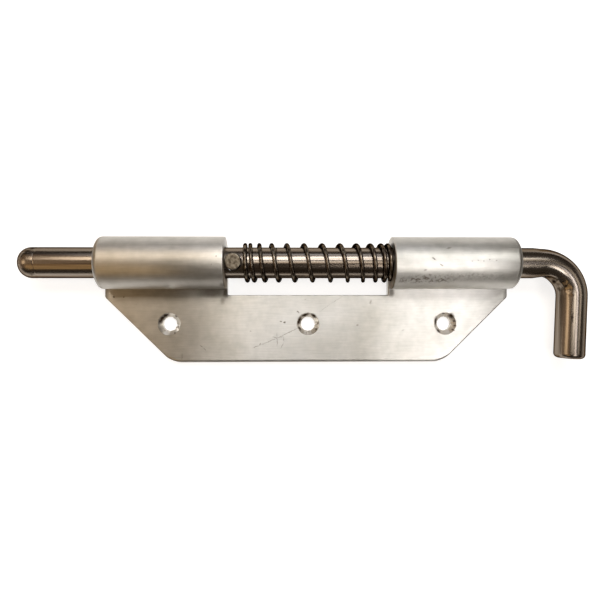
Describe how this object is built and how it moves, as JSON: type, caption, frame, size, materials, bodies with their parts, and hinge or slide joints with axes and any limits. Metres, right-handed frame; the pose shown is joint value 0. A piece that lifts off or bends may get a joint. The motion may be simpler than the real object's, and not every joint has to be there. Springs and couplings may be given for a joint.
{
  "type": "spring bolt latch",
  "caption": "Spring bolt latch: a bent round bolt slides in the rolled knuckles of a screwed-on steel leaf, thrown by a coil spring against a cross pin.",
  "frame": {"origin": "centre of the middle screw hole, on the back face of the leaf", "axes": "+X along the bolt, from its tip to its handle; +Y from the screws to the bolt; +Z out of the mounting surface, towards the hand"},
  "size_m": [0.2216, 0.0496, 0.0204],
  "materials": {
    "satin_steel": "satin, lightly scratched and pitted",
    "polished_steel": "polished bar",
    "peened_steel": "hammered flat",
    "spring_wire": "drawn wire, dulled"
  },
  "bodies": {
    "leaf": {"leaf": "satin_steel"},
    "spring": {"spring": "spring_wire"},
    "bolt": {"bolt": "polished_steel", "stop_pin": "peened_steel"}
  },
  "joints": [
    {"name": "bolt_slide", "type": "slide", "parent": "leaf", "child": "spring", "axis": [1, 0, 0], "range_m": [0, 0.0305], "stiffness_N_per_m": 2100, "springref_m": -0.012, "deforming": ["spring"]},
    {"name": "bolt_turn", "type": "hinge", "parent": "spring", "child": "bolt", "pos_m": [0, 0.024, 0.0102], "axis": [-1, 0, 0], "continuous": true}
  ]
}
